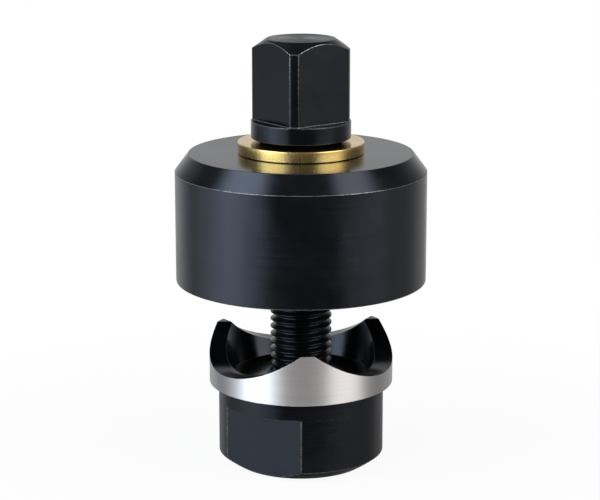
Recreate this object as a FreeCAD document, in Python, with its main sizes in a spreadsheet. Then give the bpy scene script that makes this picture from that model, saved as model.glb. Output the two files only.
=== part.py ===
"""Screw-drawn hole punch for sheet metal: draw bolt, thrust washer, die and punch.

The tool stands on the foot of the punch. Its axis is +Z, and the origin is the middle of the foot.
Sizes are in millimetres and degrees. Turns are angles about +Z, counted from +X, and -Y is the front.
"""
import FreeCAD, Part
import math
import os
import Sketcher

# Driving sizes. Each can be changed by itself, and what meets it follows.
SIZES = {
    # Fits
    "thread_fit": 0.05,           # radial gap between the bolt's thread and the punch
    "slide_fit": 0.1,             # radial gap between the shank and the die or the washer
    "cutting_fit": 0.2,           # radial gap between the punch and the die
    "edge_break": 0.3,            # bevel that takes the burr off a turned edge
    # Draw bolt
    "thread_diameter": 20.0,
    "shank_length": 100.0,        # from the collar's seat to the end of the thread
    "shank_point": 1.5,           # bevel on the end of the thread
    "collar_diameter": 32.1,
    "collar_height": 6.7,
    "collar_cone_width": 3.2,     # cone under the collar: how far it runs in
    "collar_cone_height": 1.3,
    "collar_rim": 0.35,           # bevel on the collar's upper edge
    "head_flats": 24.0,           # across the flats of the square head
    "head_corners": 31.3,         # across the turned corners
    "head_length": 26.2,
    "head_crown": 22.0,           # diameter of the flat top inside the head's cone
    "head_cone_drop": 3.25,
    "head_turn": 37.1,            # turn of one flat's normal
    # Thrust washer
    "washer_diameter": 40.6,
    "washer_thickness": 3.7,
    # Die
    "sheet_gap": 17.8,            # from the punch's tips up to the die
    "die_diameter": 81.0,
    "die_height": 41.7,
    "die_shoulder_width": 4.4,
    "die_shoulder_drop": 5.9,
    "die_roof": 11.0,             # thickness of the die's closed end
    "cutting_land": 10.0,         # height of the straight wall behind the cutting edge
    "die_relief": 1.2,            # how far the cavity opens out past the land
    "die_corner": 2.5,            # slope between the cavity's wall and the roof
    "bore_mouth": 1.0,            # bevel at the mouths of the bores
    # Punch
    "cut_diameter": 60.0,
    "punch_height": 43.2,
    "cutter_wall": 4.5,           # wall of the crown, measured level with the tips
    "cup_taper": 12.0,            # slope of the cup's wall, which closes in downwards
    "cup_floor": 29.0,            # height of the floor inside the crown
    "cup_corner": 0.6,            # bevel between the cup's wall and its floor
    "band_foot": 26.9,            # height of the cutting band's lower edge
    "body_diameter": 54.0,
    "foot_bevel_width": 5.0,
    "foot_bevel_height": 3.5,
    "foot_bevel_crown": 40.0,     # radius of the bevel's slightly crowned face
    "tip_count": 3,
    "scoop_turn": 94.0,           # turn of one scoop's middle
    "scoop_depth": 10.1,          # from the tips down to a scoop's floor, at the cutting edge
    "scoop_rise": 1.0,            # slope of a scoop's floor, rising outwards
    "scoop_tilt": 56.1,           # slope of the axis of a scoop's cone, rising outwards
    "wrench_flats": 46.0,         # across the two flats for the wrench
    "flats_height": 21.0,
    "flats_turn": 58.6,           # turn of one flat's normal
}

doc = FreeCAD.newDocument("hole_punch")
sheet = doc.addObject("Spreadsheet::Sheet", "Sizes")
for row, (alias, value) in enumerate(SIZES.items(), start=1):
    sheet.set(f"A{row}", alias)
    sheet.set(f"B{row}", str(value))
    sheet.setAlias(f"B{row}", alias)
doc.recompute()

# Heights and radii that more than one piece shares, as expressions on the sheet.
DIE_FOOT = "(Sizes.punch_height + Sizes.sheet_gap)"
DIE_TOP = f"({DIE_FOOT} + Sizes.die_height)"
SEAT = f"({DIE_TOP} + Sizes.washer_thickness)"
COLLAR_TOP = f"({SEAT} + Sizes.collar_height)"
HEAD_TOP = f"({COLLAR_TOP} + Sizes.head_length)"
SHANK_RADIUS = "Sizes.thread_diameter / 2"
SLIDE_BORE = f"({SHANK_RADIUS} + Sizes.slide_fit)"
CUT_RADIUS = "Sizes.cut_diameter / 2"


def new_body(label, turn="0"):
    """Body with its own label, turned about the tool's axis."""
    body = doc.addObject("PartDesign::Body", label)
    body.Label = label
    body.Placement = FreeCAD.Placement(FreeCAD.Vector(0, 0, 0), FreeCAD.Rotation(FreeCAD.Vector(0, 0, 1), 0))
    body.setExpression("Placement.Rotation.Angle", turn)
    return body


def origin_plane(body, role):
    """One of the body's own origin planes or axes, found by its role."""
    return next(item for item in body.Origin.OriginFeatures if item.Role == role)


def outline(body, name, role, loops, height=None, turn=None):
    """Sketch of closed loops. Each corner is two expressions measured from the origin.

    A third expression makes the side that leaves a corner an arc of that radius, bulging to its right.
    """
    sketch = body.newObject("Sketcher::SketchObject", name)
    sketch.AttachmentSupport = (origin_plane(body, role), [""])
    sketch.MapMode = "FlatFace"
    if height:
        sketch.setExpression("AttachmentOffset.Base.z", height)
    if turn:
        sketch.AttachmentOffset = FreeCAD.Placement(
            sketch.AttachmentOffset.Base, FreeCAD.Rotation(FreeCAD.Vector(0, 0, 1), 1))
        sketch.setExpression("AttachmentOffset.Rotation.Angle", turn)
    for loop in loops:
        first = sketch.GeometryCount
        count = len(loop)
        places = [FreeCAD.Vector(float(sketch.evalExpression(corner[0])),
                                 float(sketch.evalExpression(corner[1])), 0) for corner in loop]
        for k, corner in enumerate(loop):
            start, end = places[k], places[(k + 1) % count]
            if len(corner) == 3:
                radius = float(sketch.evalExpression(corner[2]))
                sketch.addGeometry(arc_between(start, end, radius), False)
                index = sketch.addConstraint(Sketcher.Constraint("Radius", first + k, radius))
                sketch.setExpression(f"Constraints[{index}]", corner[2])
            else:
                sketch.addGeometry(Part.LineSegment(start, end), False)
        for k in range(count):
            sketch.addConstraint(Sketcher.Constraint("Coincident", first + k, 2, first + (k + 1) % count, 1))
        for k, corner in enumerate(loop):
            for kind, axis, expression in (("DistanceX", -2, corner[0]), ("DistanceY", -1, corner[1])):
                if expression == "0":
                    sketch.addConstraint(Sketcher.Constraint("PointOnObject", first + k, 1, axis))
                    continue
                value = float(sketch.evalExpression(expression))
                index = sketch.addConstraint(Sketcher.Constraint(kind, -1, 1, first + k, 1, value))
                sketch.setExpression(f"Constraints[{index}]", expression)
    doc.recompute()
    return sketch


def arc_between(start, end, radius):
    """Arc from start to end, counterclockwise round a centre on the left of the line between them."""
    chord = end - start
    left = FreeCAD.Vector(-chord.y, chord.x, 0).normalize()
    centre = (start + end) * 0.5 + left * math.sqrt(radius ** 2 - (chord.Length / 2) ** 2)
    angles = [math.atan2(point.y - centre.y, point.x - centre.x) for point in (start, end)]
    return Part.ArcOfCircle(Part.Circle(centre, FreeCAD.Vector(0, 0, 1), radius), *angles)


def revolve(body, name, corners):
    """Turned solid from an outline of radii and heights."""
    sketch = outline(body, name + "_outline", "XZ_Plane", [corners])
    feature = body.newObject("PartDesign::Revolution", name)
    feature.Profile = sketch
    feature.ReferenceAxis = (sketch, ["V_Axis"])
    feature.Angle = 360
    doc.recompute()
    return feature


def pocket(body, name, sketch, depth):
    """Cut from the sketch's plane downwards."""
    before = body.Tip.Shape.Volume
    feature = body.newObject("PartDesign::Pocket", name)
    feature.Profile = sketch
    feature.setExpression("Length", depth)
    doc.recompute()
    require_cut(name, before, feature.Shape.Volume)
    return feature


def require_cut(name, before, after):
    """Stops the build when a cut has missed the solid."""
    if not after < before:
        raise RuntimeError(f"{name} cuts nothing")


def make_draw_bolt():
    """Bolt turned from one bar: threaded shank, collar, and a square head with turned corners."""
    body = new_body("draw_bolt", "Sizes.head_turn")
    corner = "Sizes.head_corners / 2"
    collar = "Sizes.collar_diameter / 2"
    end = f"{SEAT} - Sizes.shank_length"
    revolve(body, "bolt_blank", [
        ("0", end),
        (f"{SHANK_RADIUS} - Sizes.shank_point", end),
        (SHANK_RADIUS, f"{end} + Sizes.shank_point"),
        (SHANK_RADIUS, SEAT),
        (f"{collar} - Sizes.collar_cone_width", SEAT),
        (collar, f"{SEAT} + Sizes.collar_cone_height"),
        (collar, f"{COLLAR_TOP} - Sizes.collar_rim"),
        (f"{collar} - Sizes.collar_rim", COLLAR_TOP),
        (corner, COLLAR_TOP),
        (corner, f"{HEAD_TOP} - Sizes.head_cone_drop"),
        ("Sizes.head_crown / 2", HEAD_TOP),
        ("0", HEAD_TOP),
    ])
    # The four flats are what is left inside a square when all outside it is milled away.
    flat = "Sizes.head_flats / 2"
    clear = "Sizes.head_corners"
    square = [(flat, flat), (f"-{flat}", flat), (f"-{flat}", f"-{flat}"), (flat, f"-{flat}")]
    frame = [(clear, clear), (f"-{clear}", clear), (f"-{clear}", f"-{clear}"), (clear, f"-{clear}")]
    sketch = outline(body, "square_outline", "XY_Plane", [square, frame], height=HEAD_TOP)
    pocket(body, "square_head", sketch, "Sizes.head_length")
    return body


def make_thrust_washer():
    """Brass slip ring between the collar and the die, with its burrs taken off."""
    body = new_body("thrust_washer")
    edge = "Sizes.edge_break"
    outer = "Sizes.washer_diameter / 2"
    revolve(body, "ring", [
        (SLIDE_BORE, f"{DIE_TOP} + {edge}"),
        (f"{SLIDE_BORE} + {edge}", DIE_TOP),
        (f"{outer} - {edge}", DIE_TOP),
        (outer, f"{DIE_TOP} + {edge}"),
        (outer, f"{SEAT} - {edge}"),
        (f"{outer} - {edge}", SEAT),
        (f"{SLIDE_BORE} + {edge}", SEAT),
        (SLIDE_BORE, f"{SEAT} - {edge}"),
    ])
    return body


def make_die():
    """Hollow block that the sheet bears on, with a cutting edge at the mouth of its cavity."""
    body = new_body("die")
    edge = "Sizes.edge_break"
    outer = "Sizes.die_diameter / 2"
    land = f"({CUT_RADIUS} + Sizes.cutting_fit)"
    relief = f"({land} + Sizes.die_relief)"
    land_top = f"{DIE_FOOT} + Sizes.cutting_land"
    roof = f"({DIE_TOP} - Sizes.die_roof)"
    revolve(body, "die_blank", [
        (land, DIE_FOOT),
        (f"{outer} - {edge}", DIE_FOOT),
        (outer, f"{DIE_FOOT} + {edge}"),
        (outer, f"{DIE_TOP} - Sizes.die_shoulder_drop"),
        (f"{outer} - Sizes.die_shoulder_width", DIE_TOP),
        (f"{SLIDE_BORE} + Sizes.bore_mouth", DIE_TOP),
        (SLIDE_BORE, f"{DIE_TOP} - Sizes.bore_mouth"),
        (SLIDE_BORE, f"{roof} + Sizes.bore_mouth"),
        (f"{SLIDE_BORE} + Sizes.bore_mouth", roof),
        (f"{relief} - Sizes.die_corner", roof),
        (relief, f"{roof} - Sizes.die_corner"),
        (relief, f"{land_top} + Sizes.die_relief"),
        (land, land_top),
    ])
    return body


def make_punch():
    """Cup-shaped cutter: ground band and three-pointed crown above a body with wrench flats."""
    body = new_body("punch", "Sizes.scoop_turn")
    bore = f"({SHANK_RADIUS} + Sizes.thread_fit)"
    mouth = f"{bore} + Sizes.bore_mouth"
    outer = "Sizes.body_diameter / 2"
    rim = f"({CUT_RADIUS} - Sizes.cutter_wall)"
    slope = "tan(Sizes.cup_taper * 1deg)"
    cup_foot = f"({rim} - (Sizes.punch_height - Sizes.cup_floor) * {slope})"
    edge = "Sizes.edge_break"
    revolve(body, "punch_blank", [
        (mouth, "0"),
        (f"{outer} - Sizes.foot_bevel_width", "0", "Sizes.foot_bevel_crown"),
        (outer, "Sizes.foot_bevel_height"),
        (outer, "Sizes.band_foot"),
        (f"{CUT_RADIUS} - {edge}", "Sizes.band_foot"),
        (CUT_RADIUS, f"Sizes.band_foot + {edge}"),
        (CUT_RADIUS, "Sizes.punch_height"),
        (rim, "Sizes.punch_height"),
        (f"{cup_foot} + Sizes.cup_corner * {slope}", "Sizes.cup_floor + Sizes.cup_corner"),
        (f"{cup_foot} - Sizes.cup_corner", "Sizes.cup_floor"),
        (mouth, "Sizes.cup_floor"),
        (bore, "Sizes.cup_floor - Sizes.bore_mouth"),
        (bore, "Sizes.bore_mouth"),
    ])
    add_scoops(body)
    add_wrench_flats(body)
    return body


def add_scoops(body):
    """Crown cut by equal cones that share one apex, on the axis and near the level of the scoops' floors.

    Every straight line of a scoop's surface runs through that apex. The floor of a scoop is almost level, and
    the lines beside it rise outwards, more so near the tips. That leaves the outer edge keen where it shears
    the sheet. Neighbouring cones meet in a ridge that falls inwards behind the small flat on each tip.
    """
    tilt = "Sizes.scoop_tilt * 1deg"
    opening = "(Sizes.scoop_tilt - Sizes.scoop_rise) * 1deg"
    reach = CUT_RADIUS
    apex = f"Sizes.punch_height - Sizes.scoop_depth - {CUT_RADIUS} * tan(Sizes.scoop_rise * 1deg)"
    axis_end = (f"{reach} * cos({tilt})", f"{apex} + {reach} * sin({tilt})")
    floor_end = (f"{axis_end[0]} + {reach} * tan({opening}) * sin({tilt})",
                 f"{axis_end[1]} - {reach} * tan({opening}) * cos({tilt})")
    sketch = outline(body, "scoop_outline", "XZ_Plane", [[("0", apex), axis_end, floor_end]])
    before = body.Tip.Shape.Volume
    scoop = body.newObject("PartDesign::Groove", "scoop")
    scoop.Profile = sketch
    scoop.ReferenceAxis = (sketch, ["Edge1"])
    scoop.Angle = 360
    doc.recompute()
    require_cut("scoop", before, scoop.Shape.Volume)
    ring = body.newObject("PartDesign::PolarPattern", "scoops")
    ring.Originals = [scoop]
    ring.Axis = (origin_plane(body, "Z_Axis"), [""])
    ring.Angle = 360
    ring.setExpression("Occurrences", "Sizes.tip_count")
    body.Tip = ring
    doc.recompute()
    require_cut("scoops", scoop.Shape.Volume, ring.Shape.Volume)


def add_wrench_flats(body):
    """Two parallel flats milled up from the foot."""
    near = "Sizes.wrench_flats / 2"
    far = "Sizes.body_diameter"
    sides = [[(f"{sign}{near}", far), (f"{sign}{near}", f"-{far}"), (f"{sign}{far}", f"-{far}"), (f"{sign}{far}", far)]
             for sign in ("", "-")]
    sketch = outline(body, "flats_outline", "XY_Plane", sides, height="Sizes.flats_height",
                     turn="Sizes.flats_turn - Sizes.scoop_turn")
    pocket(body, "wrench_flats", sketch, "Sizes.flats_height")


pieces = [make_draw_bolt(), make_thrust_washer(), make_die(), make_punch()]
doc.recompute()

for item in doc.Objects:
    if "Invalid" in item.State or "Error" in item.State:
        raise RuntimeError(f"{item.Label} failed: {item.State}")
for piece in pieces:
    if piece.Shape.isNull() or not piece.Shape.isValid() or len(piece.Shape.Solids) != 1:
        raise RuntimeError(f"{piece.Label} is not one valid solid")

os.makedirs("parts", exist_ok=True)
for piece in pieces:
    piece.Shape.exportStep(f"parts/{piece.Label}.step")
    box = piece.Shape.BoundBox
    print(f"{piece.Label}: {piece.Shape.Volume / 1000:.1f} cm3, z {box.ZMin:.2f} to {box.ZMax:.2f}, "
          f"width {box.XLength:.2f}")
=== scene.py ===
"""Screw-drawn hole punch for sheet metal: finished surfaces of its four pieces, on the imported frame.

Lengths are in metres and turns in radians, unless a name says otherwise. The tool's axis is +Z, the
origin is the middle of its foot, and -Y is the front. Angles are counted from +X, counterclockwise
from above.
"""
import math

import bmesh
import bpy
import numpy as np
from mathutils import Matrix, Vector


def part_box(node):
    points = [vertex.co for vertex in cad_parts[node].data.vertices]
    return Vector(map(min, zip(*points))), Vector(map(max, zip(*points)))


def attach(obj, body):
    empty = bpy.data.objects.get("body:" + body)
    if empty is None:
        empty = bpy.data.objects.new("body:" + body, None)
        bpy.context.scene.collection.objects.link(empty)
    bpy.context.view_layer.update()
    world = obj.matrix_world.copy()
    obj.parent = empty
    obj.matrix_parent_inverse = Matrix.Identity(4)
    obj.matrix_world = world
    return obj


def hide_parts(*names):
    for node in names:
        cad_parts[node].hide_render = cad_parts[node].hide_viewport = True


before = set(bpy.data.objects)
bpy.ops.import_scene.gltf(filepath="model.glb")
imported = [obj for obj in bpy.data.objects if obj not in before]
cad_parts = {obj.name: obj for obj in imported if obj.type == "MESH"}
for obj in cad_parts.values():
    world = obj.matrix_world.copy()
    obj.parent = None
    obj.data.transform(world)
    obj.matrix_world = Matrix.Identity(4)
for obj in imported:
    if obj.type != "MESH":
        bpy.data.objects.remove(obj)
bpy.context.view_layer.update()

MM = 0.001
FULL_TURN = 2 * math.pi

# Heights and radii that the frame gives.
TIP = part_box("punch")[1].z
CUT_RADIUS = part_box("punch")[1].x
DIE_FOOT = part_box("die")[0].z
DIE_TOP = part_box("die")[1].z
DIE_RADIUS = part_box("die")[1].x
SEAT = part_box("thrust_washer")[1].z
WASHER_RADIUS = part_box("thrust_washer")[1].x
BOLT_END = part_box("draw_bolt")[0].z
HEAD_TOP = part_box("draw_bolt")[1].z
COLLAR_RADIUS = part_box("draw_bolt")[1].x

# Thread: a metric 20 x 2.5 form. Its rows are given as shares of the lead.
LEAD = 2.5 * MM
MAJOR = 10.0 * MM
THREAD_DEPTH = 1.534 * MM
CREST_SHARE = 1 / 8                       # flat of the crest, as a share of the lead
FLANK = math.tan(math.radians(60))        # fall of a flank for each metre along the axis
THREAD_ROWS = np.array([0, .045, .08, .25, .39, .44, .5, .56, .61, .75, .92, .955])
BOLT_ROWS = 35 * len(THREAD_ROWS)         # number of the bolt's last row that climbs a whole lead
RUN_OUT = 1.5 * LEAD                      # height over which the thread fades, a lead under the neck
POINT_RADIUS = 8.4 * MM                   # small end of the bevel at the end of the thread
POINT_RINGS = np.array([0, 0.97, 1])      # of the flat at that end, as shares of its radius
THREAD_FIT = 0.05 * MM
NUT_MINOR = 8.7 * MM
BORE_ROWS = 10 * len(THREAD_ROWS) + 2     # number of the bore's last row that climbs a whole lead
BORE_START = -2                           # in leads: the bore's lowest ring, from the bolt's end
RELIEF_POWER = 16                         # of the share of a turn, by which the bore's relief fades

# Head and collar.
HEAD_TURN = math.radians(37.1)
HALF_FLATS = 12.0 * MM
HEAD_CORNER = 15.65 * MM
HEAD_CROWN = 11.0 * MM
HEAD_CONE_DROP = 3.25 * MM
COLLAR_TOP = SEAT + 6.7 * MM
COLLAR_CONE_WIDTH = 3.2 * MM
COLLAR_CONE_HEIGHT = 1.3 * MM
HEAD_FOOT = 6                             # corner of the bolt's section at the foot of the head's sides

# Die and washer.
SLIDE_BORE = 10.1 * MM
BORE_MOUTH = 1.0 * MM
DIE_LAND = 30.2 * MM
DIE_RELIEF = 31.4 * MM
LAND_TOP = DIE_FOOT + 10 * MM
LAND_SLOPE = 1.2 * MM                     # height over which the land widens to the relief
DIE_ROOF = DIE_TOP - 11 * MM
ROOF_ROUND = 3.0                          # in millimetres
SHOULDER_WIDTH = 4.4 * MM
SHOULDER_DROP = 5.9 * MM

# Punch. The last two values number corners of its section.
CUP_TOP_RADIUS = CUT_RADIUS - 4.5 * MM    # of the cup's wall, carried up to the tips
CUP_FLOOR = 29.0 * MM
CUP_TAPER = math.tan(math.radians(12.0))
CUP_HOLLOW = 0.5 * MM
CUP_SHARES = (0.75, 0.5, 0.25)            # heights of the corners up the cup's wall
BAND_FOOT = 26.9 * MM
BODY_RADIUS = 27.0 * MM
FOOT_RADIUS = 22.0 * MM
FOOT_BEVEL_HEIGHT = 3.5 * MM
FOOT_BEVEL_BULGE = 0.116 * MM
FOOT_BEVEL_SHARES = (0.2, 0.4, 0.6, 0.8)  # places of the corners across the foot's bevel
FLATS_RADIUS = 23.0 * MM
FLATS_TOP = 21.0 * MM
FLAT_TURNS = np.radians([-121.4, 58.6])
FLAT_REACH = 1.2                          # turn from a flat's middle where its plane has left the body
SCOOP_TURNS = np.radians([94.0, -146.0, -26.0])
SCOOP_TILT = math.radians(56.1)
SCOOP_RISE = math.radians(1.0)
SCOOP_OPENING = SCOOP_TILT - SCOOP_RISE
VALLEY_DEPTH = 10.1 * MM                  # at the rim, under the tips
CROWN_HEIGHT = VALLEY_DEPTH + CUT_RADIUS * math.tan(SCOOP_RISE)     # from the scoops' apex to the tips
TIP_LEDGE = 0.4 * MM
EDGE_PASSES = 8                           # steps of the search for the cup's upper edge
BORE_RADIUS = MAJOR + THREAD_FIT
MOUTH_RADIUS = BORE_RADIUS + BORE_MOUTH
FLATS_CORNER = 3 + len(FOOT_BEVEL_SHARES)     # where the foot's sides start
BAND_CORNER = FLATS_CORNER + 4                # where the ground band starts

# Columns round the pieces. At an upright edge some stand close together, clear of the even ones.
BOLT_COLUMNS, WASHER_COLUMNS, DIE_COLUMNS, PUNCH_COLUMNS = 96, 256, 288, 240
EDGE_COLUMNS = np.radians([-1.7, -0.95, -0.5, -0.16, 0.16, 0.5, 0.95, 1.7])
EDGE_CLEARANCE = 1.3 * EDGE_COLUMNS.max()
ANGLE_DECIMALS = 9
HEAD_EDGE_ROUND = 0.16 * MM
FLATS_EDGE_ROUND = 0.06 * MM
EDGE_RUB_TURN = math.radians(0.45)

# Rounds of a section. The last two values keep a division from zero.
ROUND_STEPS = 5
CORNER_ROWS = ROUND_STEPS + 2
WHOLE = 1000                              # round, in millimetres, that takes in all of both sides
CUT_SHARE = 0.45                          # most that a round cuts off a side
GUARD = 0.06 * MM                         # width of the strip that keeps a side's shading flat
GUARD_SHARE = 0.04                        # most that such a strip takes of a side
MERGE = 0.0001 * MM                       # points that are this close become one
SHORTEST = 1e-12
NARROWEST = 1e-6

# Colours, as red, green, blue and 1.
THIN_SKIN, THICK_SKIN = (0.0015, 0.0018, 0.0024, 1), (0.0045, 0.0050, 0.0062, 1)
SKIN_SHEEN = (0.72, 0.80, 1.0, 1)
RUBBED_STEEL = (0.50, 0.50, 0.50, 1)
DULL_STEEL, BRIGHT_STEEL = (0.72, 0.70, 0.70, 1), (0.80, 0.78, 0.78, 1)
DARK_BRASS, PALE_BRASS = (0.83, 0.57, 0.17, 1), (0.97, 0.73, 0.28, 1)
PALE_GREY, WHITE = (0.9, 0.9, 0.9, 1), (1, 1, 1, 1)

# Studio. ROOM gives the dim room's level from front to back; PANELS is explained at make_world.
FLOOR_SIDES = 96
FLOOR_RADIUS = 0.5
FLOOR_DROP = 0.2 * MM                     # below the tool's foot
ROOM = ((0.0, 0.12), (0.5, 0.11), (0.75, 0.14), (0.88, 0.36), (0.97, 0.64))
LEFT_LIGHT, RIGHT_LIGHT = (0.84, 0.92, 1.0), (1.0, 0.98, 0.95)
PANELS = (
    (-70, 47, 24, 16, 8, 4.1, LEFT_LIGHT), (-53, 13, 23, 20, 8, 3.6, LEFT_LIGHT),
    (-72, -15, 25, 10, 20, 1.9, LEFT_LIGHT), (-125, -15, 25, 7, 10, 0.4, LEFT_LIGHT),
    (66, 49, 20, 17, 8, 2.7, RIGHT_LIGHT), (57, 15, 23, 17, 7, 2.7, RIGHT_LIGHT),
    (70, -16, 23, 11, 18, 0.52, RIGHT_LIGHT), (118, -16, 25, 12, 12, 0.25, RIGHT_LIGHT),
    (0, -58, 60, 14, 12, 1.7, RIGHT_LIGHT),
)
PHOTO_WIDTH = 600                         # in pixels


# Lines and grids

def turn_to(angles, marks):
    """Turn from each angle to the nearest of the marks, whichever way round is shorter."""
    return np.abs((angles[:, None] - marks + math.pi) % FULL_TURN - math.pi).min(axis=1)


def columns(count, seam, breaks=()):
    """Angles round the axis from the seam: evenly spread, and some close together at each break."""
    even = np.arange(count) / count * FULL_TURN
    marks = (np.asarray(breaks, float) - seam) % FULL_TURN
    if marks.size:
        even = even[turn_to(even, marks) > EDGE_CLEARANCE]
    close = (marks[:, None] + EDGE_COLUMNS).ravel() % FULL_TURN
    return seam + np.unique(np.round(np.concatenate([[0.0], even, close]), ANGLE_DECIMALS))


def nearer(one, other, size):
    """The smaller of two distances, eased where they cross: their mean less half the root of the squared
    gap plus the squared size."""
    return (one + other - np.sqrt((one - other) ** 2 + size ** 2)) / 2


def meridian(corners, rounds):
    """Section line of a turned shape, with its corners rounded.

    corners holds a radius and a height for each corner and each angle. A corner is cut off at the distance
    where a round of its size would touch both sides, and the gap is a quadratic curve whose control point
    is the corner. A guard point just outside the curve, on each side, keeps the sides' shading flat.
    """
    line = np.asarray(corners, float)
    before = np.roll(line, 1, axis=0) - line
    after = np.roll(line, -1, axis=0) - line
    back = np.linalg.norm(before, axis=2, keepdims=True)
    ahead = np.linalg.norm(after, axis=2, keepdims=True)
    toward_back = before / np.maximum(back, SHORTEST)
    toward_ahead = after / np.maximum(ahead, SHORTEST)
    bend = (toward_back * toward_ahead).sum(axis=2, keepdims=True)
    size = np.asarray(rounds, float)[:, None, None]
    cut = size * np.sqrt(np.maximum(1 + bend, 0) / np.maximum(1 - bend, NARROWEST))
    cut = np.minimum(cut, CUT_SHARE * np.minimum(back, ahead))
    first, last = line + toward_back * cut, line + toward_ahead * cut
    s = np.linspace(0, 1, ROUND_STEPS)[:, None, None, None]
    curve = first * (1 - s) ** 2 + line * 2 * s * (1 - s) + last * s ** 2
    leave = first + toward_back * np.minimum(GUARD, GUARD_SHARE * back)
    join = last + toward_ahead * np.minimum(GUARD, GUARD_SHARE * ahead)
    rows = np.concatenate([leave[None], curve, join[None]])
    return np.moveaxis(rows, 0, 1).reshape(-1, line.shape[1], 2)


def section(corners, angles):
    """Rounded section line of a turned shape, and how far each of its rows is rubbed.

    Each corner is a radius, a height, a round in millimetres and a rub from 0 to 1. The radius and the
    height may be one number each, or differ from column to column. A rub follows a sine over its round, so
    it is most in the middle.
    """
    level = np.zeros(len(angles))
    points = [np.stack([radius + level, height + level], axis=-1) for radius, height, _, _ in corners]
    rounds = np.array([size for _, _, size, _ in corners]) * MM
    across = np.concatenate([[0.0], np.sin(math.pi * np.linspace(0, 1, ROUND_STEPS)), [0.0]])
    wear = np.outer([rub for _, _, _, rub in corners], across).ravel()
    return meridian(np.stack(points), rounds), np.repeat(wear[:, None], len(angles), axis=1)


def rub_upright(wear, angles, edges, corner, low, high):
    """Adds the rub of upright edges, from one corner of the section up to the next.

    It changes evenly from the low value to the high one. Sideways it fades as a bell: e to the minus square
    of the turn from the edge over EDGE_RUB_TURN.
    """
    bell = np.exp(-(turn_to(angles, edges) / EDGE_RUB_TURN) ** 2)
    first, last = corner * CORNER_ROWS + 1, (corner + 1) * CORNER_ROWS
    wear[first:last] = np.maximum(wear[first:last], low * bell)
    wear[last] = np.maximum(wear[last], high * bell)


def patch(radius, height, angles, closed=False, inward=False, wear=None, finish=None):
    """Grid of points from radii and heights, with the quads between neighbouring rows and columns.

    A point stands at its column's angle from the axis. The last column joins the first, unless the grid has
    a column more than there are angles, which then repeats the first angle after a full turn. A closed
    grid's last row joins its first. Wear is given for each point, and finish, a material's number, for each
    row of quads.
    """
    rows, across = radius.shape
    wrapped = across == len(angles)
    turn = angles if wrapped else np.append(angles, angles[0] + FULL_TURN)
    points = np.stack([radius * np.cos(turn), radius * np.sin(turn), height], axis=-1)
    row = np.arange(rows if closed else rows - 1)[:, None]
    col = np.arange(across if wrapped else across - 1)[None, :]
    next_row, next_col = (row + 1) % rows, (col + 1) % across
    corners = [row * across + col, row * across + next_col,
               next_row * across + next_col, next_row * across + col]
    quads = np.stack(np.broadcast_arrays(*corners), axis=-1)
    by_row = np.zeros(rows) if finish is None else finish
    finishes = np.broadcast_to(by_row[:len(row), None], quads.shape[:2])
    worn = np.zeros(radius.shape) if wear is None else wear
    if inward:
        quads = quads[..., ::-1]
    return points.reshape(-1, 3), quads.reshape(-1, 4), worn.ravel(), finishes.ravel()


def solid(name, patches, body, node, materials):
    """Closed mesh of the patches, joined where they touch, in place of a CAD node."""
    starts = np.cumsum([0] + [len(points) for points, _, _, _ in patches])
    points = np.concatenate([part[0] for part in patches])
    quads = np.concatenate([part[1] + start for part, start in zip(patches, starts)])
    wear = np.concatenate([part[2] for part in patches])
    finishes = np.concatenate([part[3] for part in patches])
    mesh = bpy.data.meshes.new(name)
    mesh.vertices.add(len(points))
    mesh.vertices.foreach_set("co", points.astype(np.float32).ravel())
    mesh.loops.add(quads.size)
    mesh.loops.foreach_set("vertex_index", quads.astype(np.int32).ravel())
    mesh.polygons.add(len(quads))
    mesh.polygons.foreach_set("loop_start", np.arange(0, quads.size, 4, dtype=np.int32))
    mesh.polygons.foreach_set("material_index", finishes.astype(np.int32))
    worn = mesh.attributes.new("wear", "FLOAT", "POINT")
    worn.data.foreach_set("value", wear.astype(np.float32))
    mesh.update(calc_edges=True)
    grid = bmesh.new()
    grid.from_mesh(mesh)
    bmesh.ops.remove_doubles(grid, verts=grid.verts, dist=MERGE)
    grid.to_mesh(mesh)
    grid.free()
    mesh.polygons.foreach_set("use_smooth", np.ones(len(mesh.polygons), bool))
    for material in materials:
        mesh.materials.append(material)
    made = bpy.data.objects.new(name, mesh)
    bpy.context.scene.collection.objects.link(made)
    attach(made, body)
    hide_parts(node)


# Thread

def bolt_thread(height, turn):
    """Radius of the bolt's thread: the major radius less a fall that grows with the distance to the crest.

    The fall is nothing on the crest's flat, then that of the flank, and at most the thread's depth. The
    crest passes the thread's end at angle 0 and climbs one lead in a turn.
    """
    share = (height - BOLT_END) / LEAD - turn / FULL_TURN
    away = np.abs((share + 0.5) % 1 - 0.5)
    return MAJOR - np.clip((away - CREST_SHARE / 2) * LEAD * FLANK, 0, THREAD_DEPTH)


def climbing_rows(angles, low, last):
    """Heights of a grid whose rows follow the thread, between two level rings.

    Each row starts at the seam, on its share of the lead above the one below, and climbs one lead in a
    turn. Under the first row the rows fan out from the level ring at the seam, and over the last they
    close on one.
    """
    count = len(THREAD_ROWS)
    number = np.arange(last + count + 1)
    starts = low + LEAD * (number // count + THREAD_ROWS[number % count])
    turn = np.append(angles - angles[0], FULL_TURN) / FULL_TURN
    fan = low + (starts[:count] - low)[:, None] * turn
    climb = starts[:last + 1, None] + LEAD * turn
    close = starts[last + 1:, None] + (starts[-1] - starts[last + 1:])[:, None] * turn
    return np.concatenate([fan, climb, close])


# Pieces

def head_radius(angles):
    """Distance from the axis to the head's side: the flats' over the cosine of the turn from the nearest
    flat's middle, or the turned corner's where that is nearer."""
    off = (angles - HEAD_TURN + math.pi / 4) % (math.pi / 2) - math.pi / 4
    return nearer(HALF_FLATS / np.cos(off), HEAD_CORNER, HEAD_EDGE_ROUND)


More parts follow.
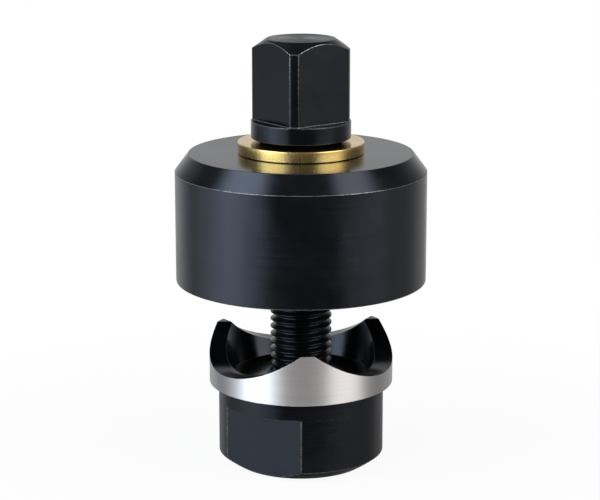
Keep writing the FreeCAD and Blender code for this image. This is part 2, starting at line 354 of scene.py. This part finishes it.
def make_bolt(material):
    """Draw bolt: bevelled end, climbing thread, plain neck, collar, and a square head under a flat cone.

    Under the neck the thread's depth is multiplied by a share that falls evenly to nothing. The bevel is a
    cone of 45 degrees.
    """
    half_corner = math.acos(HALF_FLATS / HEAD_CORNER)
    quarters = HEAD_TURN + np.arange(4) * math.pi / 2
    edges = np.concatenate([quarters - half_corner, quarters + half_corner])
    angles = columns(BOLT_COLUMNS, 0.0, edges)
    height = climbing_rows(angles, BOLT_END, BOLT_ROWS)
    neck = height[-1, 0]
    fade = np.clip((neck - LEAD - height) / RUN_OUT, 0, 1)
    radius = MAJOR - (MAJOR - bolt_thread(height, np.append(angles, FULL_TURN))) * fade
    radius = np.minimum(radius, POINT_RADIUS + height - BOLT_END)
    thread = patch(radius, height, angles)
    rings = np.repeat((POINT_RINGS * POINT_RADIUS)[:, None], len(angles), axis=1)
    end = patch(rings, np.full_like(rings, BOLT_END), angles)
    side = head_radius(angles)
    slope = HEAD_CONE_DROP / (HEAD_CORNER - HEAD_CROWN)
    corners = [
        (0, neck, 0, 0), (MAJOR, neck, 0, 0), (MAJOR, SEAT, 0.4, 0),
        (COLLAR_RADIUS - COLLAR_CONE_WIDTH, SEAT, 0.3, 0),
        (COLLAR_RADIUS, SEAT + COLLAR_CONE_HEIGHT, 0.35, 0.15),
        (COLLAR_RADIUS, COLLAR_TOP, 0.4, 0.3), (side, COLLAR_TOP, 0.2, 0.8),
        (side, HEAD_TOP - HEAD_CONE_DROP + (HEAD_CORNER - side) * slope, 0.25, 1),
        (HEAD_CROWN, HEAD_TOP, 0.5, 0.15), (0, HEAD_TOP, 0, 0),
    ]
    line, wear = section(corners, angles)
    rub_upright(wear, angles, edges, HEAD_FOOT, low=0.1, high=0.5)
    line, wear = line[CORNER_ROWS + 1:], wear[CORNER_ROWS + 1:]
    top = patch(line[..., 0], line[..., 1], angles, wear=wear)
    solid("threaded_draw_bolt", [end, thread, top], "draw_bolt", "draw_bolt",
          [material])


def make_washer(material):
    """Thrust washer: a flat ring with its four edges rubbed round."""
    angles = columns(WASHER_COLUMNS, 0.0)
    corners = [
        (SLIDE_BORE, DIE_TOP, 0.3, 0), (WASHER_RADIUS, DIE_TOP, 0.35, 0),
        (WASHER_RADIUS, SEAT, 0.35, 0), (SLIDE_BORE, SEAT, 0.3, 0),
    ]
    line, wear = section(corners, angles)
    solid("brass_thrust_washer", [patch(line[..., 0], line[..., 1], angles, closed=True, wear=wear)],
          "thrust_washer", "thrust_washer", [material])


def make_die(material):
    """Die: a turned block with a bevelled shoulder, a bore, and a deep cavity behind the cutting edge."""
    angles = columns(DIE_COLUMNS, 0.0)
    corners = [
        (DIE_LAND, DIE_FOOT, 0.05, 0.2), (DIE_RADIUS, DIE_FOOT, 0.45, 0.25),
        (DIE_RADIUS, DIE_TOP - SHOULDER_DROP, 0.35, 0.8),
        (DIE_RADIUS - SHOULDER_WIDTH, DIE_TOP, 0.35, 0.15),
        (SLIDE_BORE + BORE_MOUTH, DIE_TOP, 0.1, 0), (SLIDE_BORE, DIE_TOP - BORE_MOUTH, 0.1, 0),
        (SLIDE_BORE, DIE_ROOF + BORE_MOUTH, 0.1, 0), (SLIDE_BORE + BORE_MOUTH, DIE_ROOF, 0.1, 0),
        (DIE_RELIEF, DIE_ROOF, ROOF_ROUND, 0), (DIE_RELIEF, LAND_TOP + LAND_SLOPE, 0.3, 0),
        (DIE_LAND, LAND_TOP, 0.3, 0),
    ]
    line, wear = section(corners, angles)
    solid("turned_die", [patch(line[..., 0], line[..., 1], angles, closed=True, wear=wear)],
          "die", "die", [material])


def crown_slope(angles):
    """How steeply the crown climbs outwards at each angle, as height over radius, with no tips cut off.

    Each scoop is a cone whose apex is on the axis and whose own axis rises outwards over the scoop's
    middle. An upright plane through the axis cuts it in a straight line through the apex, and the line's
    slope solves a quadratic.
    """
    outward = np.cos(turn_to(angles, SCOOP_TURNS)) * math.cos(SCOOP_TILT)
    opening = math.cos(SCOOP_OPENING) ** 2
    square = math.sin(SCOOP_TILT) ** 2 - opening
    half = outward * math.sin(SCOOP_TILT)
    rest = outward ** 2 - opening
    return (np.sqrt(np.maximum(half ** 2 - square * rest, 0)) - half) / square


def cup_wall(height):
    """Radius of the cup's wall: a cone that closes in downwards, and a parabola that hollows it.

    The parabola is nothing at the floor and at the tips.
    """
    share = (height - CUP_FLOOR) / (TIP - CUP_FLOOR)
    return CUP_TOP_RADIUS - (TIP - height) * CUP_TAPER + 4 * CUP_HOLLOW * share * (1 - share)


def foot_bevel(side, share):
    """Corner on the foot's crowned bevel: that share of the way out to the side, and its height there.

    The height is a straight rise less a parabola that is nothing at both ends.
    """
    radius = FOOT_RADIUS + (side - FOOT_RADIUS) * share
    out = (radius - FOOT_RADIUS) / (BODY_RADIUS - FOOT_RADIUS)
    return radius, out * FOOT_BEVEL_HEIGHT - 4 * FOOT_BEVEL_BULGE * out * (1 - out)


def punch_bore(angles, low):
    """Threaded bore of the punch, from that height up, and the height of its upper ring.

    The radius is the bolt's thread and the fit, and at least the nut's minor radius. The rows of the first
    turn are relieved: there it is at least a value that falls from the whole bore's to the nut's minor
    radius, by a power of the share of the turn. Those of the last turn are relieved the other way round. A
    cone of 45 degrees widens each mouth.
    """
    height = climbing_rows(angles, low, BORE_ROWS)
    turn = np.append(angles, angles[0] + FULL_TURN)
    radius = np.maximum(bolt_thread(height, turn) + THREAD_FIT, NUT_MINOR)
    along = (turn - turn[0]) / FULL_TURN
    count = len(THREAD_ROWS)
    relief = BORE_RADIUS - (BORE_RADIUS - NUT_MINOR) * np.stack([along, 1 - along]) ** RELIEF_POWER
    radius[:count] = np.maximum(radius[:count], relief[0])
    radius[-count:] = np.maximum(radius[-count:], relief[1])
    radius = np.maximum(radius, np.maximum(MOUTH_RADIUS - height, MOUTH_RADIUS - (CUP_FLOOR - height)))
    return patch(radius, height, angles, inward=True), height[-1, 0]


def make_punch(satin, ground, glossy):
    """Punch: foot with a crowned bevel, two wrench flats, ground band, three-pointed crown, cup and bore.

    The outside and the cup are one section, which differs from column to column. Its height on the crown
    is the apex and the crown's slope times the radius, cut off at the tips. The cup's upper edge is where
    its wall meets the crown, found by going from one to the other in turn.
    """
    reach = (math.hypot(CUT_RADIUS, CROWN_HEIGHT) * math.cos(SCOOP_OPENING)
             - CROWN_HEIGHT * math.sin(SCOOP_TILT))
    tip_edge = math.acos(reach / math.cos(SCOOP_TILT) / CUT_RADIUS)
    flat_edge = math.acos(FLATS_RADIUS / BODY_RADIUS)
    flat_edges = np.concatenate([FLAT_TURNS - flat_edge, FLAT_TURNS + flat_edge])
    scoop_edges = np.concatenate([SCOOP_TURNS - tip_edge, SCOOP_TURNS + tip_edge])
    tips = SCOOP_TURNS + math.pi / 3
    angles = columns(PUNCH_COLUMNS, FLAT_TURNS[0], np.concatenate([scoop_edges, tips, flat_edges]))
    off = np.minimum(turn_to(angles, FLAT_TURNS), FLAT_REACH)
    side = nearer(BODY_RADIUS, FLATS_RADIUS / np.cos(off), FLATS_EDGE_ROUND)
    low = BOLT_END + LEAD * (angles[0] / FULL_TURN + BORE_START)
    bore, bore_top = punch_bore(angles, low)

    slope = crown_slope(angles)
    apex = TIP - CROWN_HEIGHT
    ledge = np.minimum(CROWN_HEIGHT / slope, CUT_RADIUS - TIP_LEDGE)
    inner = np.full_like(slope, CUP_TOP_RADIUS)
    for _ in range(EDGE_PASSES):
        inner = cup_wall(apex + slope * inner)
    rise = apex + slope * inner - CUP_FLOOR
    wall = [CUP_FLOOR + rise * share for share in CUP_SHARES]
    corners = [
        (MOUTH_RADIUS - low, low, 0, 0), (MOUTH_RADIUS, 0, 0.1, 0), (FOOT_RADIUS, 0, 0.3, 0.2),
        *[(*foot_bevel(side, share), 0, 0) for share in FOOT_BEVEL_SHARES],
        (*foot_bevel(side, 1), 0.25, 0.5), (side, FLATS_TOP, 0.25, 0.3),
        (BODY_RADIUS, FLATS_TOP, 0.2, 0.3), (BODY_RADIUS, BAND_FOOT, 0.3, 0),
        (CUT_RADIUS, BAND_FOOT, 0.3, 0),
        (CUT_RADIUS, np.minimum(apex + slope * CUT_RADIUS, TIP), 0.08, 0),
        (ledge, np.minimum(apex + slope * ledge, TIP), 0, 0),
        (inner, CUP_FLOOR + rise, 0.15, 0.1),
        *[(cup_wall(height), height, WHOLE, 0) for height in wall],
        (cup_wall(CUP_FLOOR), CUP_FLOOR, 0.4, 0), (MOUTH_RADIUS, CUP_FLOOR, 0.1, 0),
        (MOUTH_RADIUS - (CUP_FLOOR - bore_top), bore_top, 0, 0),
    ]
    line, wear = section(corners, angles)
    rub_upright(wear, angles, flat_edges, FLATS_CORNER, low=0.2, high=0.3)
    # The ground band runs from the middle of its lower round to a quarter of the crown's edge round.
    finish = np.zeros(len(line))
    band_start, band_end = BAND_CORNER * CORNER_ROWS + 3, (BAND_CORNER + 1) * CORNER_ROWS + 2
    finish[band_start:band_end] = 1
    finish[band_end:] = 2
    # The first and the last corner are on the bore's end rings, so one row of each is kept.
    kept = slice(CORNER_ROWS - 2, len(line) - CORNER_ROWS + 2)
    line, wear, finish = line[kept], wear[kept], finish[kept]
    outside = patch(line[..., 0], line[..., 1], angles, wear=wear, finish=finish)
    solid("crown_punch", [outside, bore], "punch", "punch", [satin, ground, glossy])


# Finishes

def add(tree, kind, inputs=None, **settings):
    """Node of that kind, with its settings, and each input given a value or a link."""
    made = tree.nodes.new("ShaderNode" + kind)
    for name, value in settings.items():
        setattr(made, name, value)
    for socket, value in (inputs or {}).items():
        if isinstance(value, bpy.types.NodeSocket):
            tree.links.new(value, made.inputs[socket])
        else:
            made.inputs[socket].default_value = value
    return made


def calc(tree, operation, *values):
    """Result of an operation on one number or two."""
    return add(tree, "Math", dict(enumerate(values)), operation=operation).outputs[0]


def vector_calc(tree, operation, inputs, result="Vector"):
    """Result of an operation on vectors."""
    return add(tree, "VectorMath", inputs, operation=operation).outputs[result]


def between(tree, value, low, high, start=0.3, end=0.7):
    """Value taken from the range between start and end to the one between low and high."""
    return add(tree, "MapRange", {"Value": value, "From Min": start, "From Max": end, "To Min": low,
                                  "To Max": high}).outputs[0]


def blend_colours(tree, share, low, high):
    """Colour between two, by a share."""
    return add(tree, "Mix", {0: share, 6: low, 7: high}, data_type="RGBA").outputs[2]


def facing_up(tree):
    """How far a face looks up: 1 straight up, 0 sideways and -1 straight down."""
    return add(tree, "SeparateXYZ", {0: add(tree, "TexCoord").outputs["Normal"]}).outputs[2]


def turned_marks(tree, fineness, drift=0.5):
    """Noise round the axis: it changes fast with height and radius, and slowly with the angle."""
    place = add(tree, "TexCoord").outputs["Object"]
    parts = add(tree, "SeparateXYZ", {0: place}).outputs
    flat = add(tree, "CombineXYZ", {0: parts[0], 1: parts[1]}).outputs[0]
    slow = vector_calc(tree, "SCALE", {0: vector_calc(tree, "NORMALIZE", {0: flat}), "Scale": drift})
    lift = add(tree, "CombineXYZ", {2: calc(tree, "MULTIPLY", parts[2], fineness)}).outputs[0]
    spot = vector_calc(tree, "ADD", {0: slow, 1: lift})
    depth = calc(tree, "MULTIPLY", vector_calc(tree, "LENGTH", {0: flat}, "Value"), fineness)
    return add(tree, "TexNoise", {"Vector": spot, "W": depth, "Scale": 1.0, "Detail": 4.0,
                                  "Roughness": 0.6}, noise_dimensions="4D").outputs[0]


def patches_of(tree, size, detail=3.0, stretch=(1, 1, 1)):
    """Soft cloudy noise whose spots are about that size."""
    place = add(tree, "TexCoord").outputs["Object"]
    spot = add(tree, "Mapping", {"Vector": place, "Scale": stretch}).outputs[0]
    return add(tree, "TexNoise", {"Vector": spot, "Scale": 1 / size, "Detail": detail}).outputs[0]


def new_finish(name):
    """Empty material with nodes, and its node tree."""
    material = bpy.data.materials.new(name)
    material.use_nodes = True
    material.node_tree.nodes.clear()
    return material, material.node_tree


def shade_turned(tree, grain, strength, depth, inputs):
    """Surface of the material: the grain is a bump of that strength and depth, and a highlight that is
    drawn out takes its direction from the axis."""
    bump = add(tree, "Bump", {"Strength": strength, "Distance": depth, "Height": grain}).outputs[0]
    round_axis = add(tree, "Tangent", direction_type="RADIAL", axis="Z").outputs[0]
    surface = add(tree, "BsdfPrincipled", {**inputs, "Normal": bump, "Tangent": round_axis}).outputs[0]
    tree.links.new(surface, add(tree, "OutputMaterial").inputs[0])


def black_oxide(name, smooth, rough, fineness, depth, density, level_share=1):
    """Black-oxide steel: a thin blue-black skin over turning marks, clouded, and rubbed bare on its edges.

    Its roughness clouds between the smooth and the rough value. There are about as many marks to the metre
    as the fineness says, and they are as deep as the depth. The density of the skin is its refractive
    index, which sets how much it shines. The level share is the roughness of faces that look straight up,
    as a share of that of the others.
    """
    material, tree = new_finish(name)
    marks = turned_marks(tree, fineness)
    cloud = patches_of(tree, size=9 * MM)
    speck = patches_of(tree, size=0.7 * MM)
    skin = blend_colours(tree, between(tree, cloud, 0, 1), THIN_SKIN, THICK_SKIN)
    rub = add(tree, "Attribute", attribute_name="wear").outputs["Fac"]
    bare = calc(tree, "MULTIPLY", rub, between(tree, speck, 0.3, 1, start=0.4, end=0.6))
    colour = blend_colours(tree, bare, skin, RUBBED_STEEL)
    haze = calc(tree, "ADD", between(tree, cloud, smooth, rough), between(tree, marks, -0.03, 0.05))
    level = between(tree, facing_up(tree), 1, level_share, start=0.7, end=1)
    haze = calc(tree, "MULTIPLY", haze, level)
    shade_turned(tree, marks, strength=0.2, depth=depth, inputs={
        "Base Color": colour, "Roughness": haze, "Metallic": bare, "IOR": density,
        "Specular Tint": SKIN_SHEEN, "Anisotropic": 0.6, "Anisotropic Rotation": 0.25,
    })
    return material


def ground_steel():
    """Bare steel, ground round: fine marks round the band, a little clouding."""
    material, tree = new_finish("ground_steel")
    marks = turned_marks(tree, fineness=4000, drift=1.5)
    cloud = patches_of(tree, size=6 * MM)
    colour = blend_colours(tree, between(tree, marks, 0, 1), DULL_STEEL, BRIGHT_STEEL)
    haze = calc(tree, "ADD", between(tree, cloud, 0.44, 0.50), between(tree, marks, -0.03, 0.03))
    shade_turned(tree, marks, strength=0.15, depth=0.004 * MM, inputs={
        "Base Color": colour, "Roughness": haze, "Metallic": 1.0,
        "Anisotropic": 0.85, "Anisotropic Rotation": 0.25,
    })
    return material


def turned_brass():
    """Brass: turning marks on its faces, short upright scratches on its rim, and darker clouds.

    A face counts as rim by one less the square of how far it looks up.
    """
    material, tree = new_finish("turned_brass")
    marks = turned_marks(tree, fineness=2500)
    scratch = patches_of(tree, size=0.45 * MM, detail=4.0, stretch=(1, 1, 0.12))
    cloud = patches_of(tree, size=5 * MM)
    colour = blend_colours(tree, between(tree, cloud, 0, 1), DARK_BRASS, PALE_BRASS)
    facing = facing_up(tree)
    rim = calc(tree, "SUBTRACT", 1.0, calc(tree, "MULTIPLY", facing, facing))
    scratch = calc(tree, "MULTIPLY", scratch, rim)
    haze = between(tree, scratch, 0.18, 0.28, start=0, end=0.7)
    shade_turned(tree, calc(tree, "ADD", marks, scratch), strength=0.35, depth=0.03 * MM, inputs={
        "Base Color": colour, "Roughness": haze, "Metallic": 1.0,
        "Anisotropic": 0.4, "Coat Weight": 0.5, "Coat Roughness": 0.15,
    })
    return material


# Studio

def make_floor():
    """Pale round floor that only the camera sees, with the tool's soft shadow, fading into the white
    background: its share of plain white grows with the distance from the axis."""
    turn = np.arange(FLOOR_SIDES) / FLOOR_SIDES * FULL_TURN
    level = np.full(FLOOR_SIDES, -FLOOR_DROP)
    points = np.stack([FLOOR_RADIUS * np.cos(turn), FLOOR_RADIUS * np.sin(turn), level], axis=-1)
    mesh = bpy.data.meshes.new("floor")
    mesh.from_pydata(points.tolist(), [], [list(range(FLOOR_SIDES))])
    floor = bpy.data.objects.new("floor", mesh)
    bpy.context.scene.collection.objects.link(floor)
    floor.visible_diffuse = False
    floor.visible_glossy = False
    floor.visible_transmission = False
    floor.visible_shadow = False
    material, tree = new_finish("pale_floor")
    place = add(tree, "TexCoord").outputs["Object"]
    away = vector_calc(tree, "LENGTH", {0: place}, "Value")
    fade = between(tree, away, 0.93, 1.0, start=0.05, end=0.2)
    matt = add(tree, "BsdfDiffuse", {"Color": PALE_GREY}).outputs[0]
    glow = add(tree, "Emission", {"Color": WHITE, "Strength": 1.0}).outputs[0]
    mixed = add(tree, "MixShader", {0: fade, 1: matt, 2: glow}).outputs[0]
    tree.links.new(mixed, add(tree, "OutputMaterial").inputs[0])
    mesh.materials.append(material)


def soft_step(tree, value, middle, half, soft):
    """One where a value lies within half of the middle, falling smoothly to nothing round that border,
    over twice the soft width."""
    away = calc(tree, "ABSOLUTE", calc(tree, "SUBTRACT", value, middle))
    return add(tree, "MapRange", {"Value": away, "From Min": half - soft, "From Max": half + soft,
                                  "To Min": 1.0, "To Max": 0.0}, interpolation_type="SMOOTHSTEP").outputs[0]


def make_world():
    """Studio round the tool: a dim room, a white backdrop behind, and soft lit panels.

    A panel is given by its turn from the camera's side, positive to the right, its rise, half its width,
    half its height and the width of its soft edges, all in degrees, and by its level and colour. The last
    one lights the tool from below, as the table in front does. Well under the horizon the room is darker.
    Only the camera sees white all round.
    """
    world = bpy.data.worlds.new("studio")
    bpy.context.scene.world = world
    world.use_nodes = True
    tree = world.node_tree
    tree.nodes.clear()
    aim = add(tree, "SeparateXYZ", {0: add(tree, "TexCoord").outputs["Generated"]}).outputs
    turn = calc(tree, "DEGREES", calc(tree, "ARCTAN2", aim[0], calc(tree, "MULTIPLY", aim[1], -1.0)))
    rise = calc(tree, "DEGREES", calc(tree, "ARCSINE", aim[2]))
    ramp = add(tree, "ValToRGB", {0: between(tree, aim[1], 0, 1, start=-1, end=1)})
    for place, _ in ROOM[1:-1]:
        ramp.color_ramp.elements.new(place)
    for stop, (place, level) in zip(ramp.color_ramp.elements, ROOM):
        stop.position = place
        stop.color = (level, level, level, 1)
    below = between(tree, aim[2], 0.45, 1, start=-0.36, end=-0.2)
    light = vector_calc(tree, "SCALE", {0: ramp.outputs[0], "Scale": below})
    for middle, lift, half_width, half_height, soft, level, colour in PANELS:
        across = soft_step(tree, turn, middle, half_width, soft)
        upright = soft_step(tree, rise, lift, half_height, min(soft, half_height))
        share = calc(tree, "MULTIPLY", calc(tree, "MULTIPLY", across, upright), level)
        glow = vector_calc(tree, "SCALE", {0: colour, "Scale": share})
        light = vector_calc(tree, "ADD", {0: light, 1: glow})
    studio = add(tree, "Background", {"Color": light, "Strength": 1.0}).outputs[0]
    white = add(tree, "Background", {"Color": WHITE, "Strength": 1.0}).outputs[0]
    seen = add(tree, "LightPath").outputs["Is Camera Ray"]
    mixed = add(tree, "MixShader", {0: seen, 1: studio, 2: white}).outputs[0]
    tree.links.new(mixed, add(tree, "OutputWorld").inputs[0])


def make_camera():
    """Camera of the photograph: long lens, a little above the tool, looking slightly down."""
    lens = bpy.data.cameras.new("camera")
    lens.sensor_width = 36.0
    lens.lens = 120.69
    lens.shift_x = -1 / PHOTO_WIDTH
    made = bpy.data.objects.new("camera", lens)
    made.location = (0, -0.6335, 0.2237)
    made.rotation_euler = (math.radians(90 - 13.605), 0, 0)
    bpy.context.scene.collection.objects.link(made)
    bpy.context.scene.camera = made


make_bolt(black_oxide("black_bolt_steel", smooth=0.16, rough=0.24, fineness=2200, depth=0.012 * MM,
                      density=1.39, level_share=1.5))
make_washer(turned_brass())
make_die(black_oxide("black_die_steel", smooth=0.17, rough=0.25, fineness=2600, depth=0.005 * MM,
                     density=1.52, level_share=0.7))
make_punch(black_oxide("black_punch_steel", smooth=0.24, rough=0.31, fineness=2400, depth=0.004 * MM,
                       density=1.38),
           ground_steel(),
           black_oxide("black_cup_steel", smooth=0.13, rough=0.20, fineness=2400, depth=0.002 * MM,
                       density=1.45))
make_floor()
make_world()
make_camera()
bpy.context.scene.view_settings.view_transform = "Standard"
